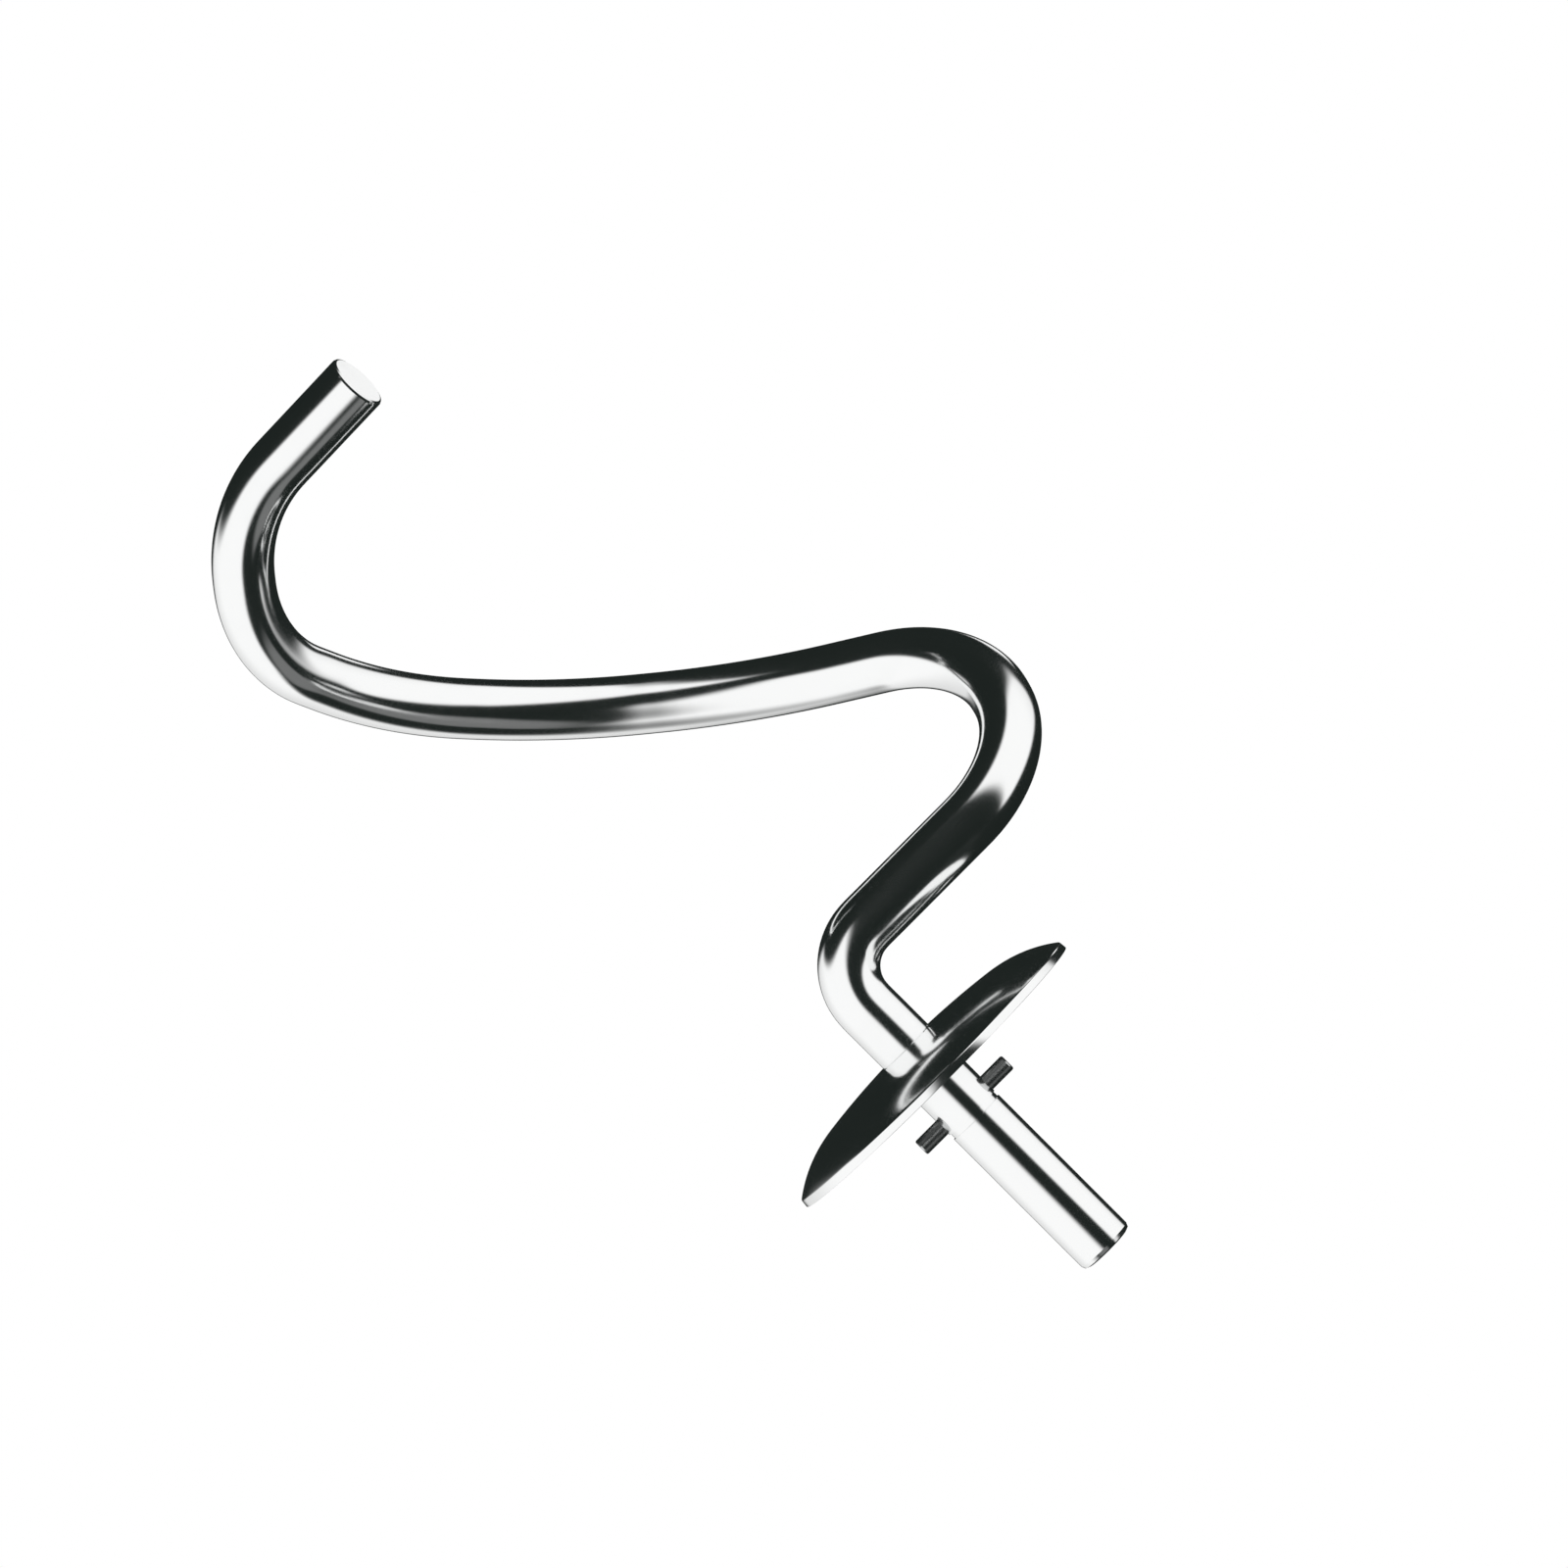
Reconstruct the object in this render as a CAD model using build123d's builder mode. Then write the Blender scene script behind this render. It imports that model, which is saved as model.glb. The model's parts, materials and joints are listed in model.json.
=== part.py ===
from math import cos, radians, sin, sqrt, tan
import os

from build123d import *

# Dough hook for a stand mixer: a bent round bar with a dished guard disc and a cross pin.
# The origin is on the shank's axis, at the lower end of the shank's plain length, just above
# the drive pin. +Z points up the shank, away from the hook. The arm leaves towards +X, and
# the hook winds clockwise from there, seen from above. Sizes are in millimetres and degrees.

# Bar and shank
bar_diameter = 8.0
shank_length = 23.5
shank_chamfer = 0.7
relief_width = 0.8
relief_depth = 0.2
tip_chamfer = 0.4

# Drive pin
pin_diameter = 2.3
pin_length = 15.5
pin_chamfer = 0.25
pin_land = 0.2
pin_clearance = 0.01

# Guard disc
disc_diameter = 46.4
disc_sheet = 0.8
disc_drop = 6.0
disc_knuckle_radius = 17.5
disc_rim_angle = 38.0
disc_crown_angle = 7.5
disc_trim_angle = 6.0
disc_rim_chamfer = 0.15
collar_height = 2.4
collar_root_chamfer = 0.6
disc_clearance = 0.02

# Hook: heights are drops below the disc's rim, and angles run clockwise from +X
neck_bend_radius = 7.4
arm_drop = 19.0
arm_reach = 37.6
arm_angle = 3.3
spiral_top_drop = 34.8
spiral_bottom_drop = 98.6
spiral_top_radius = 47.6
spiral_bottom_radius = 25.0
spiral_start_angle = 26.0
spiral_turn_angle = 135.2
spiral_tightening = 0.41
spiral_runs = 4
foot_drop = 112.7
foot_heel_radius = 12.7
foot_heel_angle = 164.7
foot_length = 23.9
foot_heading_angle = -17.0
bend_share = 0.48

# How near a section's corner lies to the radius at which it is looked for
corner_tolerance = 0.001

# Places along the shank
bar_radius = bar_diameter / 2
pin_height = -(relief_width + pin_land + pin_diameter / 2)
rim_height = pin_height - disc_drop


def turned(radius, angle, drop):
    """A point at a radius and a clockwise angle round the shank, below the disc's rim."""
    return Vector(radius, 0, rim_height - drop).rotate(Axis.Z, -angle)


def bend_radius(before, corner, after):
    """The largest bend at a corner that leaves room for the bends at both ends of its runs."""
    run_in = corner - before
    run_out = after - corner
    half_turn = radians(run_in.get_angle(run_out)) / 2
    return bend_share * min(run_in.length, run_out.length) / tan(half_turn)


# Hook bar: the route of its middle line, from the shank's end to the foot's tip
shank_end = Vector(0, 0, shank_length)
neck_corner = turned(0, 0, arm_drop)
arm_corner = turned(arm_reach, arm_angle, arm_drop)

spiral_corners = []
for step in range(spiral_runs + 1):
    share = step / spiral_runs
    radius = spiral_top_radius + share**spiral_tightening * (spiral_bottom_radius - spiral_top_radius)
    angle = spiral_start_angle + share * spiral_turn_angle
    drop = spiral_top_drop + share * (spiral_bottom_drop - spiral_top_drop)
    spiral_corners.append(turned(radius, angle, drop))

foot_heel = turned(foot_heel_radius, foot_heel_angle, foot_drop)
foot_tip = foot_heel + Vector(foot_length, 0, 0).rotate(Axis.Z, -foot_heading_angle)

route_points = [shank_end, neck_corner, arm_corner, *spiral_corners, foot_heel, foot_tip]
route_radii = [neck_bend_radius]
for before, corner, after in zip(route_points[1:], route_points[2:], route_points[3:]):
    route_radii.append(bend_radius(before, corner, after))

with BuildPart() as hook_bar:
    with BuildLine() as route:
        FilletPolyline(*route_points, radius=route_radii)
    with BuildSketch(Plane(shank_end, z_dir=(0, 0, -1))):
        Circle(bar_radius)
    sweep(path=route.line)

    # Eased edges at the shank's end and at the foot's cut end
    chamfer(hook_bar.faces().sort_by(Axis.Z)[-1].edges(), shank_chamfer)
    chamfer(hook_bar.faces().sort_by_distance(foot_tip)[0].edges(), tip_chamfer)

    # Shallow relief round the shank, where its plain length ends at the drive pin
    with BuildSketch(Plane.XY):
        Circle(bar_radius + relief_depth)
        Circle(bar_radius - relief_depth, mode=Mode.SUBTRACT)
    extrude(amount=-relief_width, mode=Mode.SUBTRACT)

    # Cross hole for the drive pin
    with BuildSketch(Plane.YZ):
        with Locations((0, pin_height)):
            Circle(pin_diameter / 2 + pin_clearance)
    extrude(amount=bar_diameter, both=True, mode=Mode.SUBTRACT)

hook_bar.part.label = "hook_bar"

# Drive pin: a plain dowel across the shank
with BuildPart() as drive_pin:
    with BuildSketch(Plane.YZ):
        with Locations((0, pin_height)):
            Circle(pin_diameter / 2)
    extrude(amount=pin_length / 2, both=True)
    chamfer(drive_pin.edges().filter_by(GeomType.CIRCLE), pin_chamfer)

drive_pin.part.label = "drive_pin"

# Guard disc: a crown of large radius runs into a tighter knuckle that turns the rim up
knuckle_reach = disc_knuckle_radius * (sin(radians(disc_rim_angle)) - sin(radians(disc_crown_angle)))
knuckle_rise = disc_knuckle_radius * (cos(radians(disc_crown_angle)) - cos(radians(disc_rim_angle)))
crown_reach = disc_diameter / 2 - knuckle_reach
crown_radius = crown_reach / sin(radians(disc_crown_angle))
crown_rise = crown_radius * (1 - cos(radians(disc_crown_angle)))
disc_bottom = rim_height - knuckle_rise - crown_rise
bore_radius = bar_radius + disc_clearance
collar_radius = bore_radius + disc_sheet

# The two chamfers where the collar leaves the dish are one sheet's thickness apart
collar_draw_chamfer = collar_root_chamfer + (2 - sqrt(2)) * disc_sheet


def corners_at(sketch, radius):
    """A section's corners at one distance from the shank's axis, from the lowest to the highest."""
    near = sketch.vertices().filter_by(lambda corner: abs(corner.X - radius) < corner_tolerance)
    return near.sort_by(Axis.Y)


with BuildPart() as guard_disc:
    with BuildSketch(Plane.XZ) as dish_section:
        with BuildLine():
            crown = JernArc((0, disc_bottom), (1, 0), crown_radius, disc_crown_angle)
            knuckle_angle = disc_rim_angle + disc_trim_angle - disc_crown_angle
            JernArc(crown @ 1, crown % 1, disc_knuckle_radius, knuckle_angle)
            offset(amount=disc_sheet, side=Side.LEFT)
        make_face()

        # The pressed sheet is trimmed to its round outline from above, so its cut edge is upright
        with Locations((0, disc_bottom)):
            Rectangle(disc_diameter, disc_diameter, mode=Mode.INTERSECT)
        chamfer(corners_at(dish_section, disc_diameter / 2), disc_rim_chamfer)

        # Collar drawn up from the sheet, which grips the bar
        with Locations((bore_radius, disc_bottom + disc_sheet / 2)):
            Rectangle(disc_sheet, disc_sheet / 2 + collar_height, align=(Align.MIN, Align.MIN))
        with Locations((0, disc_bottom)):
            Rectangle(2 * bore_radius, disc_diameter, mode=Mode.SUBTRACT)
        chamfer(corners_at(dish_section, bore_radius)[0], collar_draw_chamfer)
        chamfer(corners_at(dish_section, collar_radius)[0], collar_root_chamfer)
    revolve(axis=Axis.Z)

guard_disc.part.label = "guard_disc"

os.makedirs("parts", exist_ok=True)
export_step(hook_bar.part, "parts/hook_bar.step")
export_step(guard_disc.part, "parts/guard_disc.step")
export_step(drive_pin.part, "parts/drive_pin.step")
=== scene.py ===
# %% [markdown]
# # A dough hook, polished to a mirror
#
# The object is a kneading hook for a stand mixer: a round steel bar bent into a spiral, a dished
# disc that keeps dough out of the drive, and a short cross pin that the drive turns. All of it is
# bright metal, so the lesson is mostly about two things: surfaces smooth enough to carry a clean
# reflection, and surroundings worth reflecting.
#
# The imported model is loaded first and never moved. Its box is kept, and the tent is later centred
# on its middle.

import json
from math import asin, ceil, cos, degrees, pi, radians, sin, tan

import bmesh
import bpy
from mathutils import Matrix, Vector


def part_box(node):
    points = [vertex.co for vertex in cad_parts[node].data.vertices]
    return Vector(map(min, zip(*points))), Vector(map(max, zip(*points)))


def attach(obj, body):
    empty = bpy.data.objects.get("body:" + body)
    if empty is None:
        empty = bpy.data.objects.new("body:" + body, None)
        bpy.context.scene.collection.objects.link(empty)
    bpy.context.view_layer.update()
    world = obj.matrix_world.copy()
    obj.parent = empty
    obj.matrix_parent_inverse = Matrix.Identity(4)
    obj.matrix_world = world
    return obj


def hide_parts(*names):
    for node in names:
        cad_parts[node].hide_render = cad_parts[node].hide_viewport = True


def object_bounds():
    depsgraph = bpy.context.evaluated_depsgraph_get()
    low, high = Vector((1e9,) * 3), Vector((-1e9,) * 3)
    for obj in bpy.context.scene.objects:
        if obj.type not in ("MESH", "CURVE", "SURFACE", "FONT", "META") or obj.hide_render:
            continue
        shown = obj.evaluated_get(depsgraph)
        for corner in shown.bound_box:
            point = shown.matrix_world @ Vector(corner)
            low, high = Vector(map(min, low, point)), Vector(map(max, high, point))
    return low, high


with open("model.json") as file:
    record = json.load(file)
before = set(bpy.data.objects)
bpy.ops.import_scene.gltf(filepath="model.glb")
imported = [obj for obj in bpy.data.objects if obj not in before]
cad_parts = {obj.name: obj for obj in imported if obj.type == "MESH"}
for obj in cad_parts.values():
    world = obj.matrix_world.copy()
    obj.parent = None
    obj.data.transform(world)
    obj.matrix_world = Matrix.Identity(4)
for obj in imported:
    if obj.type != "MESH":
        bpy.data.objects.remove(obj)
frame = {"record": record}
cad_low, cad_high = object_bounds()
MM = 0.001
print("packed model, in mm:", [round(side / MM, 1) for side in cad_high - cad_low])

# %% [markdown]
# ## Places that every piece shares
#
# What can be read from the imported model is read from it: how thick the bar is, where the shank
# ends and where the pin crosses it. Every height on the hook hangs from the disc's rim, so that
# height is worked out here as well.

# %% Read the shared sizes from the frame
DISC_DROP = 6.0 * MM

shank_mount = frame["record"]["mounts"][0]
bar_radius = shank_mount["dims"]["r_mm"] * MM
shank_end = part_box("hook_bar")[1].z
pin_low, pin_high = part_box("drive_pin")
pin_height = (pin_low.z + pin_high.z) / 2
rim_height = pin_height - DISC_DROP
print("bar radius and heights of shank end, pin and rim, in mm:")
print([round(size / MM, 2) for size in (bar_radius, shank_end, pin_height, rim_height)])

# %% [markdown]
# ## The camera
#
# The picture looks at the hook level from the side, through a long lens, and the camera is rolled
# so that the shank points down to the right at 45 degrees. A rolled camera is easiest to write as
# three axes: the way its picture's right edge lies, the way its top lies, and the way back from
# the hook to the camera. The columns of its rotation are those three.

# %% Set up the camera
VIEW_DISTANCE = 743 * MM
FRAME_WIDTH = 198.45 * MM
FRAME_RIGHT_OF_AXIS = 12.59 * MM
FRAME_BELOW_RIM = 38.88 * MM
SENSOR_WIDTH = 36.0
NEAR_CLIP = 0.05

to_camera = Vector((0, 1, 0))
along_arm = Vector((1, 0, 0))
up_shank = Vector((0, 0, 1))
picture_right = (along_arm + up_shank).normalized()
picture_up = (along_arm - up_shank).normalized()
looked_at = Vector((0, 0, rim_height)) + FRAME_RIGHT_OF_AXIS * along_arm - FRAME_BELOW_RIM * up_shank

lens = bpy.data.cameras.new("side_view")
lens.sensor_width = SENSOR_WIDTH
lens.lens = SENSOR_WIDTH * VIEW_DISTANCE / FRAME_WIDTH
lens.clip_start = NEAR_CLIP
camera = bpy.data.objects.new("side_view", lens)
bpy.context.scene.collection.objects.link(camera)
turn = Matrix((picture_right, picture_up, to_camera)).transposed().to_4x4()
camera.matrix_world = Matrix.Translation(looked_at + VIEW_DISTANCE * to_camera) @ turn
bpy.context.scene.camera = camera
print("lens, in mm:", round(lens.lens))

# %% [markdown]
# ## Drawing with one point
#
# Bent bar and pressed sheet are both made of straight stretches and round bends. Their points could be
# worked out one by one with sines and cosines. In bmesh a single vertex can draw such a line with less
# arithmetic: extruding it draws a straight run, and spinning it about a centre draws a bend. The first
# two helpers do that, and both return the vertex where the line now ends. The third puts a finished
# mesh into the scene, with its faces shaded smooth up to a sharp angle.

# %% Draw runs and bends
SHARP_ANGLE = radians(20)


def draw_run(mesh, end, to):
    """Draws a straight run from the vertex at the line's end to a point."""
    made = bmesh.ops.extrude_vert_indiv(mesh, verts=[end])
    tip = made["verts"][0]
    tip.co = to
    return tip


def draw_bend(mesh, end, centre, axis, angle, steps):
    """Spins the vertex at the line's end about a centre, and so draws a round bend."""
    made = bmesh.ops.spin(
        mesh, geom=[end], cent=centre, axis=axis, dvec=(0, 0, 0), angle=angle, steps=steps
    )
    return [part for part in made["geom_last"] if isinstance(part, bmesh.types.BMVert)][0]


def add_object(name, mesh):
    """Puts a finished bmesh into the scene, as an object that sits at the origin."""
    for face in mesh.faces:
        face.smooth = True
    data = bpy.data.meshes.new(name)
    mesh.to_mesh(data)
    mesh.free()
    data.set_sharp_from_angle(angle=SHARP_ANGLE)
    made = bpy.data.objects.new(name, data)
    bpy.context.scene.collection.objects.link(made)
    return made


print("edges look sharp from, in degrees:", round(degrees(SHARP_ANGLE)))

# %% [markdown]
# ## The route of the bar
#
# The bar leaves the disc straight down, turns into a short arm, winds round the shank's axis in a
# spiral that narrows as it goes down, and ends in a straight foot. Such a route could be drawn by
# hand as a curve. Here its corners come from the same few sizes as those of the solid, so that the
# two stay alike: drops below the disc's rim, distances from the axis, and angles that run clockwise
# from the arm.

# %% Work out the corners of the route
ARM_DROP = 19.0 * MM
ARM_REACH = 37.6 * MM
ARM_ANGLE = 3.3
SPIRAL_DROPS = (34.8 * MM, 98.6 * MM)
SPIRAL_RADII = (47.6 * MM, 25.0 * MM)
SPIRAL_ANGLES = (26.0, 161.2)
SPIRAL_TIGHTENING = 0.41
SPIRAL_RUNS = 4
HEEL_DROP = 112.7 * MM
HEEL_RADIUS = 12.7 * MM
HEEL_ANGLE = 164.7
FOOT_LENGTH = 23.9 * MM
FOOT_HEADING = 17.0


def turned(radius, angle, drop):
    """A point at a radius and a clockwise angle round the shank, below the disc's rim."""
    return Matrix.Rotation(radians(-angle), 3, "Z") @ Vector((radius, 0, rim_height - drop))


def between(ends, share):
    """The value at a share of the way from the first to the second of two values."""
    return ends[0] + share * (ends[1] - ends[0])


neck_top = turned(0, 0, 0)
neck_corner = turned(0, 0, ARM_DROP)
corners = [neck_top, neck_corner, turned(ARM_REACH, ARM_ANGLE, ARM_DROP)]
for step in range(SPIRAL_RUNS + 1):
    share = step / SPIRAL_RUNS
    radius = between(SPIRAL_RADII, share**SPIRAL_TIGHTENING)
    corners.append(turned(radius, between(SPIRAL_ANGLES, share), between(SPIRAL_DROPS, share)))
heel = turned(HEEL_RADIUS, HEEL_ANGLE, HEEL_DROP)
foot_way = Matrix.Rotation(radians(FOOT_HEADING), 3, "Z") @ along_arm
foot_tip = heel + FOOT_LENGTH * foot_way
corners += [heel, foot_tip]
print("route corners:", len(corners))

# %% [markdown]
# ## From route to wire
#
# A bent bar has straight runs and round bends. Each bend here is nearly as large as its runs allow,
# except the tight one at the neck. A mirror shows every sudden change of curvature as a kink in its
# reflections. A route of pure runs and bends has such a change at the start and end of every bend,
# while a real bar eases into its bends. So the route is drawn as a wire of short, even steps, and the
# wire is smoothed a little before it becomes a bar. Smoothing moves each point towards the middle of
# its two neighbours, which would also pull the bends in, so every step in is followed by a slightly
# larger step out: the bends keep their size, and only their starts ease.

# %% Draw and ease the wire
NECK_BEND_RADIUS = 7.4 * MM
BEND_SHARE = 0.48
WIRE_STEP = 0.5 * MM
EASING_ROUNDS = 40
EASING_STEPS = (0.5, -0.51)
TIP_LEFT_PLAIN = 2 * MM

wire = bmesh.new()
end = bmesh.ops.create_vert(wire, co=neck_top)["vert"][0]
for before, corner, after in zip(corners, corners[1:], corners[2:]):
    run_in = corner - before
    run_out = after - corner
    way_in = run_in.normalized()
    axis = way_in.cross(run_out).normalized()
    angle = run_in.angle(run_out)
    radius = BEND_SHARE * min(run_in.length, run_out.length) / tan(angle / 2)
    if corner == neck_corner:
        radius = NECK_BEND_RADIUS
    bend_start = corner - radius * tan(angle / 2) * way_in
    bend_centre = bend_start + radius * axis.cross(way_in)
    end = draw_run(wire, end, bend_start)
    end = draw_bend(wire, end, bend_centre, axis, angle, ceil(radius * angle / WIRE_STEP))
draw_run(wire, end, foot_tip - TIP_LEFT_PLAIN * foot_way)
for run in list(wire.edges):
    cuts = round(run.calc_length() / WIRE_STEP) - 1
    if cuts > 0:
        bmesh.ops.subdivide_edges(wire, edges=[run], cuts=cuts)
inner_points = [point for point in wire.verts if len(point.link_edges) == 2]
for factor in EASING_ROUNDS * EASING_STEPS:
    bmesh.ops.smooth_vert(wire, verts=inner_points, factor=factor,
                          use_axis_x=True, use_axis_y=True, use_axis_z=True)
print("points on the wire:", len(wire.verts))

# %% [markdown]
# ## From wire to bar
#
# The bar is round stock, equally thick all the way. It could be built ring by ring in Python, with
# care that the rings don't twist. A curve with a round bevel does the same in a few lines, and keeps
# every ring square to the route. The wire is walked from its upper end to its lower one, and the
# shank's end and the foot's tip are added as long last steps, so that there is room for their chamfers.

# %% Turn the wire into a bar
BAR_SIDES = 64


def walk(mesh):
    """The places along a wire, from its highest end to its other end."""
    ends = [point for point in mesh.verts if len(point.link_edges) == 1]
    here = max(ends, key=lambda point: point.co.z)
    places = [here.co.copy()]
    edge = here.link_edges[0]
    while edge:
        here = edge.other_vert(here)
        places.append(here.co.copy())
        onward = [other for other in here.link_edges if other != edge]
        edge = onward[0] if onward else None
    return places


places = [Vector((0, 0, shank_end))] + walk(wire) + [foot_tip]
wire.free()
bar_curve = bpy.data.curves.new("bar_route", "CURVE")
bar_curve.dimensions = "3D"
bar_curve.fill_mode = "FULL"
bar_curve.bevel_depth = bar_radius
# A round bevel has twice its resolution plus four sides
bar_curve.bevel_resolution = BAR_SIDES // 2 - 2
line = bar_curve.splines.new("POLY")
line.points.add(len(places) - 1)
for point, place in zip(line.points, places):
    point.co = (*place, 1)
bar_route = bpy.data.objects.new("bar_route", bar_curve)
bar_tube = bpy.data.meshes.new_from_object(bar_route)
bpy.data.objects.remove(bar_route)
bar = bmesh.new()
bar.from_mesh(bar_tube)
bpy.data.meshes.remove(bar_tube)
print("faces on the open tube:", len(bar.faces))

# %% [markdown]
# ## The bar's ends and its relief
#
# The bar is cut off square at both ends, and its cut edges are eased. Booleans could cut the ends, but
# they can leave uneven faces, which show in a mirror. The tube from the curve is open, so each end is
# closed with one flat face, and the edge of that face is bevelled. The shallow relief just above the
# pin, where the shank's plain length ends, is cut with two planes and sunk with an inset.

# %% Finish the bar
SHANK_CHAMFER = 0.7 * MM
TIP_CHAMFER = 0.4 * MM
CHAMFER_STEPS = 2
RELIEF_WIDTH = 0.8 * MM
RELIEF_DEPTH = 0.2 * MM
RELIEF_WALL = 0.03 * MM

open_edges = [edge for edge in bar.edges if edge.is_boundary]
caps = bmesh.ops.edgeloop_fill(bar, edges=open_edges)["faces"]
print("end faces of the bar:", len(caps), "sides:", len(caps[0].verts))
for cap in caps:
    width = SHANK_CHAMFER if cap.calc_center_median().z > 0 else TIP_CHAMFER
    bmesh.ops.bevel(bar, geom=list(cap.edges), offset=width, segments=CHAMFER_STEPS, profile=0.5,
                    affect="EDGES", material=-1)
for height in (0, -RELIEF_WIDTH):
    everything = bar.verts[:] + bar.edges[:] + bar.faces[:]
    bmesh.ops.bisect_plane(bar, geom=everything, plane_co=(0, 0, height), plane_no=(0, 0, 1))
band = [face for face in bar.faces if -RELIEF_WIDTH < face.calc_center_median().z < 0]
bmesh.ops.inset_region(bar, faces=band, thickness=RELIEF_WALL, depth=-RELIEF_DEPTH,
                       use_even_offset=True)
bmesh.ops.recalc_face_normals(bar, faces=bar.faces)
bar_piece = add_object("bent_bar", bar)
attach(bar_piece, "root")
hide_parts("hook_bar")
print("faces on the bar:", len(bar_piece.data.polygons))

# %% [markdown]
# ## The guard disc's section
#
# The disc is pressed from one sheet: a shallow crown, a knuckle that turns the rim up towards the
# shank, an upright trimmed edge, and a collar drawn up round the bar. It could be a single line, spun
# and then made thick by a Solidify modifier, but that would leave the trimmed edge square to the sheet.
# So the whole section is worked out from the centres of its bends. Both sides of the sheet share these
# centres, so the sheet is even.

# %% Work out the disc's section
SHEET = 0.8 * MM
DISC_RADIUS = 23.2 * MM
KNUCKLE_RADIUS = 17.5 * MM
RIM_SLOPE = radians(38)
CROWN_SLOPE = radians(7.5)
COLLAR_HEIGHT = 2.4 * MM
COLLAR_ROOT = 0.6 * MM
BORE_CLEARANCE = 0.02 * MM

bore_radius = bar_radius + BORE_CLEARANCE
crown_reach = DISC_RADIUS - KNUCKLE_RADIUS * (sin(RIM_SLOPE) - sin(CROWN_SLOPE))
crown_radius = crown_reach / sin(CROWN_SLOPE)
knuckle_centre = Vector((DISC_RADIUS - KNUCKLE_RADIUS * sin(RIM_SLOPE), 0,
                         rim_height + KNUCKLE_RADIUS * cos(RIM_SLOPE)))
crown_centre = Vector((0, 0, knuckle_centre.z + (crown_radius - KNUCKLE_RADIUS) * cos(CROWN_SLOPE)))
draw_radius = COLLAR_ROOT + SHEET
draw_out = bore_radius + draw_radius
draw_slope = asin(draw_out / (crown_radius - draw_radius))
draw_centre = Vector((draw_out, 0, crown_centre.z - draw_out / tan(draw_slope)))
edge_slope = asin((DISC_RADIUS - knuckle_centre.x) / (KNUCKLE_RADIUS - SHEET))
edge_top = knuckle_centre.z - (KNUCKLE_RADIUS - SHEET) * cos(edge_slope)
collar_top = crown_centre.z - crown_radius + SHEET + COLLAR_HEIGHT
print("height of the trimmed edge, in mm:", round((edge_top - rim_height) / MM, 2))

# %% [markdown]
# ## Spinning the disc
#
# The section is drawn once, all the way round: down the bore, round the draw, out along the crown, up
# the knuckle, up the trimmed edge, and back inside to the collar's top. Then it is spun once round the
# shank. The sharp edges at the rim and at the collar's top are bevelled round, the way polishing leaves
# a cut edge. This could be drawn into the section too, but the bevel finds those edges by itself.

# %% Draw, spin and round the disc
DISC_STEPS = 256
SECTION_STEP = 0.4 * MM
RIM_ROUND = 0.15 * MM
ROUND_STEPS = 5
ROUNDED_FROM = radians(40)
MERGE_DISTANCE = 0.001 * MM

disc = bmesh.new()
section_axis = Vector((0, -1, 0))


def draw_section_bend(end, centre, radius, angle):
    """Draws a bend of the disc's section, in steps of about the same length."""
    return draw_bend(disc, end, centre, section_axis, angle, ceil(radius * abs(angle) / SECTION_STEP))


bore_top = Vector((bore_radius, 0, collar_top))
end = bmesh.ops.create_vert(disc, co=bore_top)["vert"][0]
end = draw_run(disc, end, Vector((bore_radius, 0, draw_centre.z)))
end = draw_section_bend(end, draw_centre, draw_radius, pi / 2 - draw_slope)
end = draw_section_bend(end, crown_centre, crown_radius, CROWN_SLOPE - draw_slope)
end = draw_section_bend(end, knuckle_centre, KNUCKLE_RADIUS, RIM_SLOPE - CROWN_SLOPE)
end = draw_run(disc, end, Vector((DISC_RADIUS, 0, edge_top)))
end = draw_section_bend(end, knuckle_centre, KNUCKLE_RADIUS, CROWN_SLOPE - edge_slope)
end = draw_section_bend(end, crown_centre, crown_radius, draw_slope - CROWN_SLOPE)
end = draw_section_bend(end, draw_centre, draw_radius, draw_slope - pi / 2)
end = draw_run(disc, end, Vector((bore_radius + SHEET, 0, collar_top)))
draw_run(disc, end, bore_top)
section = disc.verts[:] + disc.edges[:]
bmesh.ops.spin(disc, geom=section, cent=(0, 0, 0), axis=(0, 0, 1), dvec=(0, 0, 0), angle=2 * pi,
               steps=DISC_STEPS, use_merge=True)
bmesh.ops.remove_doubles(disc, verts=disc.verts, dist=MERGE_DISTANCE)
sharp_edges = [edge for edge in disc.edges if edge.calc_face_angle(0) > ROUNDED_FROM]
bmesh.ops.bevel(disc, geom=sharp_edges, offset=RIM_ROUND, segments=ROUND_STEPS, profile=0.5,
                affect="EDGES", material=-1)
bmesh.ops.recalc_face_normals(disc, faces=disc.faces)
disc_piece = add_object("dished_disc", disc)
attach(disc_piece, "root")
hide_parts("guard_disc")
print("rounded edges:", len(sharp_edges), "faces on the disc:", len(disc_piece.data.polygons))

# %% [markdown]
# ## The drive pin
#
# The pin is a ground dowel pressed across the shank, and the drive turns the hook by its two ends. It
# could be drawn and spun like the disc, but a cylinder from bmesh, turned to lie along X, is shorter.
# Both of its end edges get the small chamfer that helps such a pin into its hole.

# %% Turn the pin
PIN_SIDES = 64
PIN_CHAMFER = 0.25 * MM

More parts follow.
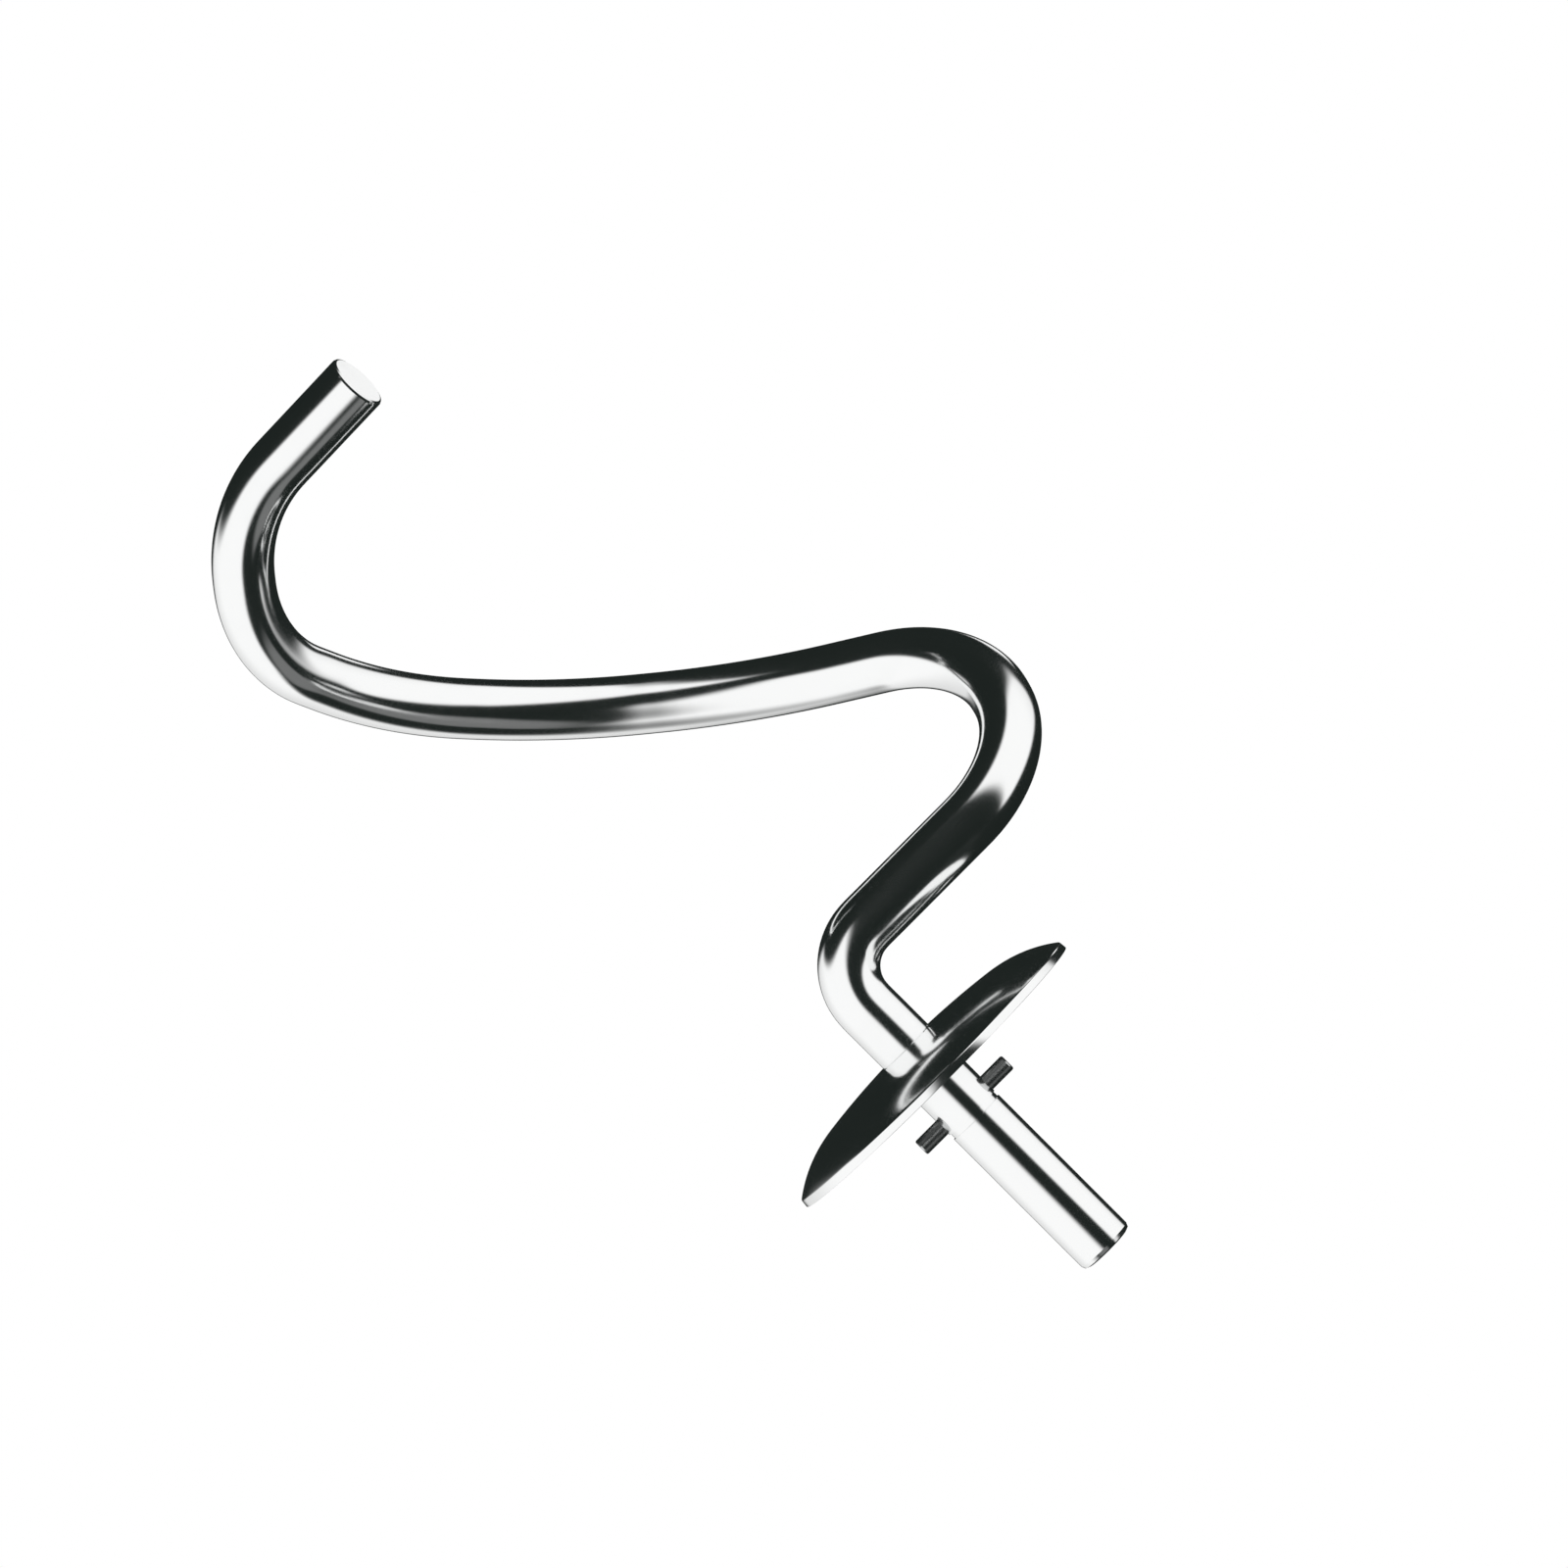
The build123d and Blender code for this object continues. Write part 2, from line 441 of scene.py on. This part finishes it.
pin_radius = (pin_high.z - pin_low.z) / 2
pin_length = pin_high.x - pin_low.x
pin = bmesh.new()
across = Matrix.Translation((0, 0, pin_height)) @ Matrix.Rotation(pi / 2, 4, "Y")
bmesh.ops.create_cone(pin, cap_ends=True, segments=PIN_SIDES, radius1=pin_radius,
                      radius2=pin_radius, depth=pin_length, matrix=across)
rims = [edge for edge in pin.edges if any(len(face.verts) == PIN_SIDES for face in edge.link_faces)]
bmesh.ops.bevel(pin, geom=rims, offset=PIN_CHAMFER, segments=CHAMFER_STEPS, profile=0.5,
                affect="EDGES", material=-1)
pin_piece = add_object("dowel", pin)
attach(pin_piece, "root")
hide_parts("drive_pin")
print("pin length and diameter, in mm:", round(pin_length / MM, 2), round(2 * pin_radius / MM, 2))

# %% [markdown]
# ## Shader maths as Python
#
# A material is a small graph of nodes. It could be wired up by hand in the node editor, but in a
# script it is easier to follow as arithmetic: `Signal` wraps one socket, and its operators add Math
# nodes, also where a plain number stands on the left. Every other kind of node comes from the one
# method `node` of `Finish`, which takes the node's type, its settings and what its sockets hold.

# %% Wrap sockets and node trees
class Signal:
    """One output socket. Arithmetic on it adds Math nodes to its finish."""

    def __init__(self, finish, socket):
        self.finish = finish
        self.socket = socket

    def maths(self, operation, first, second):
        """Adds one Math node for two values, each a signal or a number."""
        return self.finish.node("ShaderNodeMath", {"operation": operation}, {0: first, 1: second})

    def __add__(self, other):
        return self.maths("ADD", self, other)

    __radd__ = __add__

    def __sub__(self, other):
        return self.maths("SUBTRACT", self, other)

    def __rsub__(self, other):
        return self.maths("SUBTRACT", other, self)

    def __mul__(self, other):
        return self.maths("MULTIPLY", self, other)

    __rmul__ = __mul__


class Finish:
    """A node tree that is being written, for a material or for the world."""

    def __init__(self, owner):
        owner.use_nodes = True
        self.tree = owner.node_tree
        self.tree.nodes.clear()

    def node(self, kind, settings=None, inputs=None, output=0):
        """Adds a node, sets it up, fills or links its sockets, and returns one of its outputs."""
        made = self.tree.nodes.new(kind)
        for name, value in (settings or {}).items():
            setattr(made, name, value)
        for name, value in (inputs or {}).items():
            if isinstance(value, Signal):
                self.tree.links.new(value.socket, made.inputs[name])
            else:
                made.inputs[name].default_value = value
        if not made.outputs:
            return None
        return Signal(self, made.outputs[output])


def new_material(name):
    """An empty material, with the finish that writes its nodes."""
    material = bpy.data.materials.new(name)
    return material, Finish(material)


# %% [markdown]
# ## Mirror-bright steel
#
# Polished steel is a metal with very little roughness. One even value would do for a start, but real
# steel is never perfect. The polishing wheel leaves the surface a touch wavy, so that straight
# reflections wander. Handling leaves faint, soft smudges that are a little less sharp than the rest.
# The last polish leaves a fine grain, which runs in rings on the disc and is random elsewhere. All
# three are noises on Object coordinates, so they stay with the metal: the wave goes to the bump, the
# grain to the roughness, and the smudges to the roughness and, faintly, to the colour.

# %% Write the steel finish
WAVE_NOISE = {"Scale": 55.0, "Detail": 1.0}
SMUDGE_NOISE = {"Scale": 120.0, "Detail": 4.0, "Roughness": 0.6}
RING_NOISE = {"Scale": 4000.0, "Detail": 2.0}
GRAIN_NOISE = {"Scale": 2500.0, "Detail": 2.0}
SMUDGED_FROM = 0.5
SMUDGED_TO = 0.75
SMUDGE_ROUGHNESS = 0.03
GRAIN_ROUGHNESS = 0.02
SMUDGE_TINT = 0.5
ACROSS_SHANK = (1.0, 1.0, 0.0)

# A Mix node for colours has its two colours in these inputs, and the mixed one in this output
MIX_FIRST = 6
MIX_SECOND = 7
MIX_RESULT = 2


def mirror_steel(name, colour, dull_colour, roughness, wave_height, ringed):
    """Bright steel. Its grain runs in rings round the shank's axis, or is random."""
    material, finish = new_material(name)
    place = finish.node("ShaderNodeTexCoord", output="Object")
    wave = finish.node("ShaderNodeTexNoise", {"noise_dimensions": "3D"}, {"Vector": place, **WAVE_NOISE})
    smudge = finish.node("ShaderNodeTexNoise", {"noise_dimensions": "3D"},
                         {"Vector": place, **SMUDGE_NOISE})
    if ringed:
        flat = finish.node("ShaderNodeVectorMath", {"operation": "MULTIPLY"},
                           {0: place, 1: ACROSS_SHANK})
        from_axis = finish.node("ShaderNodeVectorMath", {"operation": "LENGTH"}, {0: flat},
                                output="Value")
        grain = finish.node("ShaderNodeTexNoise", {"noise_dimensions": "1D"},
                            {"W": from_axis, **RING_NOISE})
    else:
        grain = finish.node("ShaderNodeTexNoise", {"noise_dimensions": "3D"},
                            {"Vector": place, **GRAIN_NOISE})
    smudged = finish.node("ShaderNodeMapRange", {"interpolation_type": "SMOOTHSTEP"},
                          {"Value": smudge, "From Min": SMUDGED_FROM, "From Max": SMUDGED_TO})
    worn_roughness = roughness + SMUDGE_ROUGHNESS * smudged + GRAIN_ROUGHNESS * grain
    tone = finish.node(
        "ShaderNodeMix", {"data_type": "RGBA"},
        {"Factor": SMUDGE_TINT * smudged, MIX_FIRST: (*colour, 1), MIX_SECOND: (*dull_colour, 1)},
        output=MIX_RESULT)
    bumps = finish.node("ShaderNodeBump", None,
                        {"Height": wave, "Distance": wave_height, "Strength": 1.0})
    steel = finish.node("ShaderNodeBsdfPrincipled", None,
                        {"Base Color": tone, "Metallic": 1.0, "Roughness": worn_roughness,
                         "Normal": bumps})
    finish.node("ShaderNodeOutputMaterial", None, {"Surface": steel})
    return material


noises = (WAVE_NOISE, SMUDGE_NOISE, RING_NOISE, GRAIN_NOISE)
print("size of waves, smudges, rings and grain, in mm:")
print([round(1 / noise["Scale"] / MM, 2) for noise in noises])

# %% [markdown]
# ## One finish, three ways
#
# The bar and the disc are polished alike, and only the run of their grain differs. The pin is ground
# and not polished, so it is rougher and greyer. Each could have a material of its own making, but with
# one function for all three a change to the steel reaches every piece.

# %% Make the steel finishes
BRIGHT = (0.945, 0.951, 0.949)
DULLED = (0.91, 0.92, 0.915)
POLISHED_ROUGHNESS = 0.12
POLISHED_WAVE = 0.04 * MM
PIN_GREY = (0.62, 0.63, 0.63)
PIN_DULLED = (0.5, 0.51, 0.51)
GROUND_ROUGHNESS = 0.25
GROUND_WAVE = 0.02 * MM

bar_piece.data.materials.append(
    mirror_steel("polished_bar", BRIGHT, DULLED, POLISHED_ROUGHNESS, POLISHED_WAVE, ringed=False))
disc_piece.data.materials.append(
    mirror_steel("polished_sheet", BRIGHT, DULLED, POLISHED_ROUGHNESS, POLISHED_WAVE, ringed=True))
pin_piece.data.materials.append(
    mirror_steel("ground_dowel", PIN_GREY, PIN_DULLED, GROUND_ROUGHNESS, GROUND_WAVE, ringed=False))
print("finishes:", [material.name for material in bpy.data.materials if material.users])

# %% [markdown]
# ## A white room
#
# A mirror has no looks of its own: it shows what stands around it. Here it stands in a white room,
# which is also the white background. A world of one strength would be the shortest way to make it. This
# one is white to the camera, to reflections and through glass, and dimmer as a light, which leaves
# something for the lamps to do.

# %% Make the world
WHITE = (1, 1, 1, 1)
DIRECT_RAYS = ("Is Camera Ray", "Is Glossy Ray", "Is Transmission Ray")
AMBIENT = 0.6


def seen_directly(finish):
    """1 for what is seen by the camera, in a mirror or through glass, and 0 for what only gives light."""
    seen, mirrored, through = [finish.node("ShaderNodeLightPath", output=ray) for ray in DIRECT_RAYS]
    return seen + mirrored + through


world = bpy.data.worlds.new("white_room")
bpy.context.scene.world = world
room = Finish(world)
strength = AMBIENT + (1 - AMBIENT) * seen_directly(room)
sky = room.node("ShaderNodeBackground", None, {"Color": WHITE, "Strength": strength})
room.node("ShaderNodeOutputWorld", None, {"Surface": sky})
print("world:", world.name, "with a light of", AMBIENT)

# %% [markdown]
# ## A pale floor
#
# The floor lies well below the hook, so that the hook can also be looked at from underneath. White
# paint comes out grey where little light falls on it. Stronger lamps could help, but they would change
# the light on everything else. So the floor is lifted towards white by a glow of its own, which only
# the camera, reflections and glass see.

# %% Lay the floor
FLOOR_DROP = 1.0
FLOOR_SIZE = 6.0
FLOOR_PAINT = (0.9, 0.9, 0.9, 1)
FLOOR_LIFT = 0.52
MOTTLE_TONE = (0.96, 0.96, 0.96, 1)
MOTTLE_SCALE = 30.0

pale, pale_finish = new_material("pale_floor")
floor_spot = pale_finish.node("ShaderNodeTexCoord", output="Object")
mottle = pale_finish.node("ShaderNodeTexNoise", None, {"Vector": floor_spot, "Scale": MOTTLE_SCALE})
paint = pale_finish.node("ShaderNodeBsdfDiffuse", None, {"Color": FLOOR_PAINT})
lift_tone = pale_finish.node("ShaderNodeMix", {"data_type": "RGBA"},
                             {"Factor": mottle, MIX_FIRST: MOTTLE_TONE, MIX_SECOND: WHITE},
                             output=MIX_RESULT)
lift_strength = FLOOR_LIFT * seen_directly(pale_finish)
lift = pale_finish.node("ShaderNodeEmission", None, {"Color": lift_tone, "Strength": lift_strength})
both = pale_finish.node("ShaderNodeAddShader", None, {0: paint, 1: lift})
pale_finish.node("ShaderNodeOutputMaterial", None, {"Surface": both})

floor = bmesh.new()
floor_place = Matrix.Translation((0, 0, rim_height - FLOOR_DROP))
bmesh.ops.create_grid(floor, x_segments=1, y_segments=1, size=FLOOR_SIZE / 2, matrix=floor_place)
floor_card = add_object("floor", floor)
floor_card.data.materials.append(pale)
print("floor below the disc's rim, in m:", FLOOR_DROP)

# %% [markdown]
# ## A dark tent with windows
#
# In an all-white room a mirror would vanish, so a photographer closes the room off with dark cloth
# and leaves windows of white in it. A large window shows in the bar as a bright band. Dark cards on
# stands could do the same, but their edges look hard in the steel, and those of a window can fade.
# The tent here is a sphere round the hook, and a place on it is told as on a globe: longitude 0 is the
# camera's side, 90 is the arm's side, and latitude runs up the shank. A window is given by its corners,
# in degrees and with its inside on the left. There is a large one on each side of the camera, a small
# one that the foot's flat end looks at, and a dim one overhead.

# %% Set the windows
LEFT_WINDOW = {
    "glow": 1.0,
    "fade": 12,
    "corners": ((-132, -47), (-40, -42), (-4, -38), (-6, 4), (-58, 46),
                (-110, 46), (-140, 41), (-160, 26), (-158, -12)),
}
RIGHT_WINDOW = {
    "glow": 1.0,
    "fade": 10,
    "corners": ((21, -53), (85, -52), (118, -22), (124, 12), (62, 52), (48, 52)),
}
FOOT_WINDOW = {
    "glow": 1.3,
    "fade": 4,
    "corners": ((140, -17), (152, -17), (152, -5), (140, -5)),
}
TOP_WINDOW = {
    "glow": 0.16,
    "fade": 12,
    "corners": ((-75, 56), (-30, 44), (5, 52), (5, 78), (-75, 78)),
}
windows = (LEFT_WINDOW, RIGHT_WINDOW, FOOT_WINDOW, TOP_WINDOW)
print("windows and their corners:", [len(window["corners"]) for window in windows])

# %% [markdown]
# ## The tent's cloth
#
# The cloth is nearly black, and white where the windows are. An image could hold the windows, but a few
# sums draw them too, and their corners can then be changed in the script. A place is inside a window
# when it lies to the left of every edge, and each edge is spread over some degrees, so that it fades
# as it does on a softbox. All windows get weaker towards the back, which leaves white bands a soft
# outline.

# %% Write the tent's cloth
TENT_RADIUS = 0.8
CLOTH = (0.013, 0.017, 0.0155, 1)
BACK_GLOW = 0.75

tent_material, cloth = new_material("tent_cloth")
spot = cloth.node("ShaderNodeTexCoord", output="Object")
x, y, z = [cloth.node("ShaderNodeSeparateXYZ", None, {"Vector": spot}, output=axis) for axis in "XYZ"]
rise = z * (1 / TENT_RADIUS)
longitude = cloth.node("ShaderNodeMath", {"operation": "ARCTAN2"}, {0: x, 1: y}) * degrees(1)
latitude = cloth.node("ShaderNodeMath", {"operation": "ARCSINE"}, {0: rise}) * degrees(1)


def inside_edge(start, stop, fade):
    """1 to the left of the line from one corner to the next, 0 to the right, and fading between."""
    way = (Vector(stop) - Vector(start)).normalized()
    to_the_left = way.x * (latitude - start[1]) - way.y * (longitude - start[0])
    return cloth.node("ShaderNodeMapRange", {"interpolation_type": "SMOOTHSTEP"},
                      {"Value": to_the_left, "From Min": -fade / 2, "From Max": fade / 2})


light = 0
for window in windows:
    window_light = window["glow"]
    outline = window["corners"]
    for start, stop in zip(outline, outline[1:] + outline[:1]):
        window_light = window_light * inside_edge(start, stop, window["fade"])
    light = light + window_light
evenness = cloth.node("ShaderNodeMapRange", {"interpolation_type": "SMOOTHSTEP"},
                      {"Value": y, "From Min": -TENT_RADIUS, "From Max": 0.0, "To Min": BACK_GLOW})
dark_cloth = cloth.node("ShaderNodeEmission", None, {"Color": CLOTH, "Strength": 1.0})
white_window = cloth.node("ShaderNodeEmission", None, {"Color": WHITE, "Strength": 1.0})
tent_look = cloth.node("ShaderNodeMixShader", None, {0: light * evenness, 1: dark_cloth, 2: white_window})
cloth.node("ShaderNodeOutputMaterial", None, {"Surface": tent_look})
print("nodes in the tent's cloth:", len(tent_material.node_tree.nodes))

# %% [markdown]
# ## Pitching the tent
#
# The tent could be a box of panels, but corners would show in the steel, so it is a sphere. It shows
# only in reflections: the camera looks through it, it casts no shadow, and it gives the floor no light.

# %% Pitch the tent
TENT_SEGMENTS = 64
TENT_RINGS = 32

middle = (cad_low + cad_high) / 2
ball = bmesh.new()
bmesh.ops.create_uvsphere(ball, u_segments=TENT_SEGMENTS, v_segments=TENT_RINGS, radius=TENT_RADIUS)
tent = add_object("tent", ball)
tent.location = middle
tent.data.materials.append(tent_material)
tent.visible_camera = False
tent.visible_diffuse = False
tent.visible_shadow = False
tent.visible_transmission = False
tent.visible_volume_scatter = False
print("radius of the tent, in m:", TENT_RADIUS)

# %% [markdown]
# ## Soft lamps
#
# Two large softboxes, left and right of the hook, light the floor. One small lamp could do it as well,
# but its shadow would be hard. The softboxes are kept out of the reflections, where the tent's windows
# already give an even white.

# %% Light the room
SOFTBOX_GLOW = 1.3
SOFTBOX_SIZE = 1.4
SOFTBOX_OUT = 1.2
SOFTBOX_FORWARD = 0.5
SOFTBOX_UP = 0.6

for side in (-1, 1):
    softbox = bpy.data.lights.new("softbox", "AREA")
    softbox.size = SOFTBOX_SIZE
    softbox.energy = SOFTBOX_GLOW * pi * SOFTBOX_SIZE**2
    lamp = bpy.data.objects.new("softbox", softbox)
    lamp.location = middle + Vector((side * SOFTBOX_OUT, SOFTBOX_FORWARD, SOFTBOX_UP))
    lamp.rotation_mode = "QUATERNION"
    lamp.rotation_quaternion = (middle - lamp.location).to_track_quat("-Z", "Y")
    lamp.visible_glossy = False
    bpy.context.scene.collection.objects.link(lamp)
bpy.context.scene.view_settings.view_transform = "Standard"
print("softboxes:", len(bpy.data.lights))
